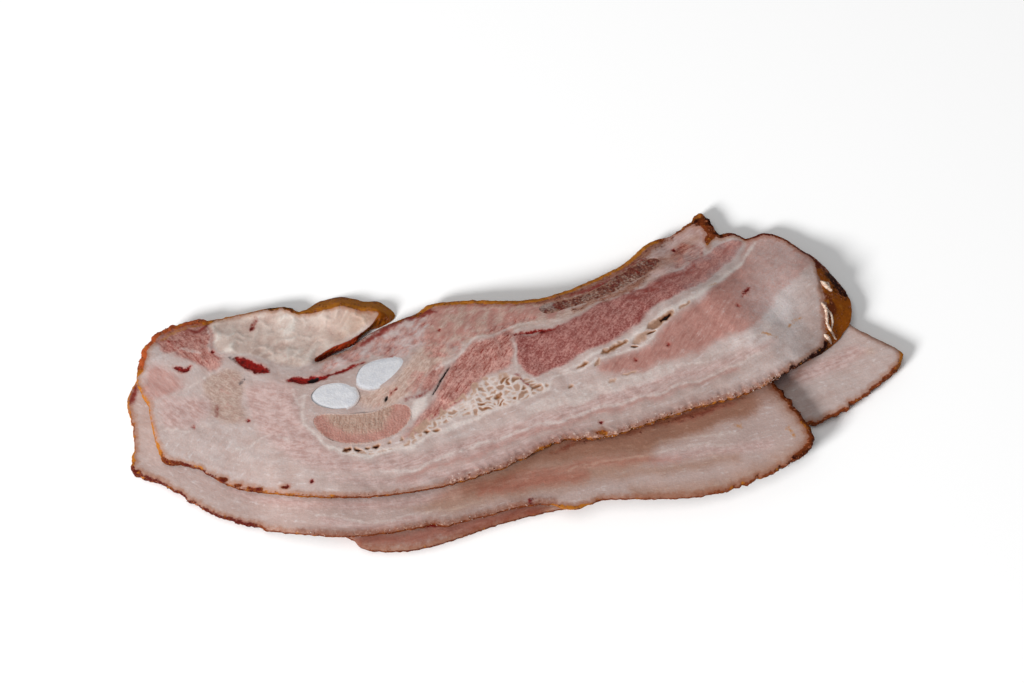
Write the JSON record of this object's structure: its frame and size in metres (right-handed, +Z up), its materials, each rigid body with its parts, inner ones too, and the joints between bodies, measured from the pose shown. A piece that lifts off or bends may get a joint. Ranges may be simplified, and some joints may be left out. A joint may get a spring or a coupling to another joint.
{
  "type": "sliced smoked pork rib",
  "caption": "Fanned pile of long oval slices of smoked pork rib, with lean, fat, cut cartilage and rib showing in the top slice and a browned rind round each edge.",
  "frame": {"origin": "on the ground, under the middle of the pile", "axes": "+X along the slices towards their plain fat end, +Y away from the viewer, +Z up"},
  "size_m": [0.3068, 0.1462, 0.0192],
  "materials": {
    "slice_top": "moist cut meat and fat",
    "slice_middle": "moist cut meat and fat",
    "slice_bottom": "moist cut meat and fat",
    "cartilage": "smooth pearly cartilage",
    "rib_end": "sawn rib end",
    "rib_marrow": "spongy dark bone marrow"
  },
  "bodies": {
    "root": {"slice_top": "slice_top", "slice_middle": "slice_middle", "slice_bottom": "slice_bottom", "cartilage_front": "cartilage", "cartilage_back": "cartilage", "rib_end": "rib_end", "rib_bone": "rib_marrow"}
  },
  "joints": []
}
